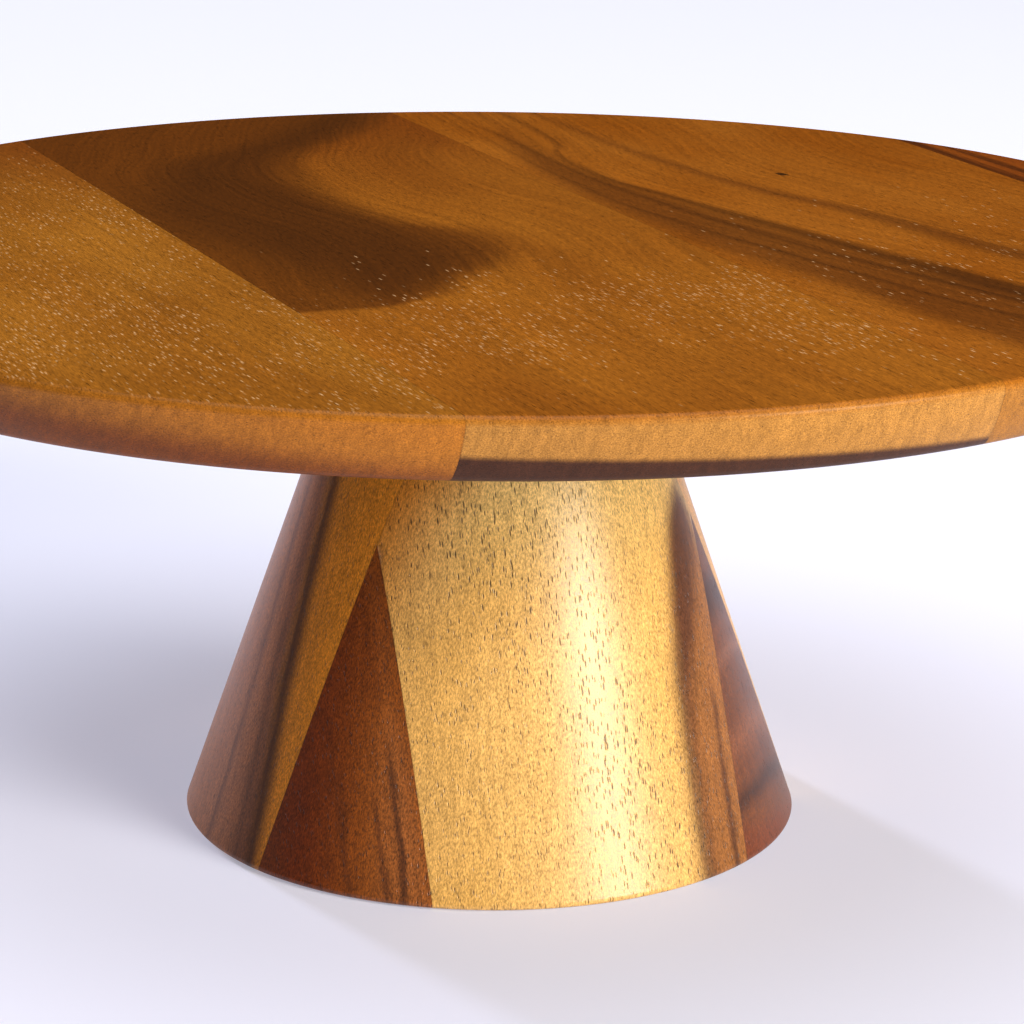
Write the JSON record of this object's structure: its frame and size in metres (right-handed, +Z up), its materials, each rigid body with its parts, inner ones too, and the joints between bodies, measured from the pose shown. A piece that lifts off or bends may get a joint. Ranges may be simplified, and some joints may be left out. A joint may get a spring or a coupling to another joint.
{
  "type": "cake stand",
  "caption": "Round wooden cake stand: a flat edge-glued plate with a rim that leans inwards, on a laminated tapered pedestal.",
  "frame": {"origin": "centre of the foot on the surface that the stand rests on", "axes": "+Z up along the pedestal's axis, +Y along the grain of the plate's boards, +X across the boards"},
  "size_m": [0.305, 0.305, 0.123],
  "materials": {
    "plate_golden": "golden-brown acacia, oiled to a satin sheen",
    "plate_banded": "brown acacia with a dark heartwood band, oiled to a satin sheen",
    "plate_striped": "golden acacia with dark curved stripes, oiled to a satin sheen",
    "plate_reddish": "red-brown acacia, oiled to a satin sheen",
    "block_golden": "golden acacia, oiled to a satin sheen",
    "block_brown": "brown acacia with dark stripes, oiled to a satin sheen",
    "block_reddish": "dark red-brown acacia, oiled to a satin sheen",
    "block_dark": "dark grey-brown acacia, oiled to a satin sheen",
    "zinc_steel": "zinc-plated steel",
    "insert_brass": "plain turned brass",
    "beech": "plain beech",
    "felt": "pressed grey felt"
  },
  "bodies": {
    "root": {"plate_board_left": "plate_golden", "plate_board_centre": "plate_banded", "plate_board_right": "plate_striped", "plate_board_edge": "plate_reddish", "pedestal_front_left": "block_reddish", "pedestal_front_centre": "block_golden", "pedestal_front_right": "block_dark", "pedestal_middle_left": "block_brown", "pedestal_middle_right": "block_golden", "pedestal_rear_left": "block_brown", "pedestal_rear_centre": "block_golden", "pedestal_rear_right": "block_reddish", "bolt": "zinc_steel", "washer": "zinc_steel", "threaded_insert": "insert_brass", "dowel_left": "beech", "dowel_right": "beech", "felt_pad_left": "felt", "felt_pad_right": "felt", "felt_pad_front": "felt", "felt_pad_rear": "felt"}
  },
  "joints": []
}
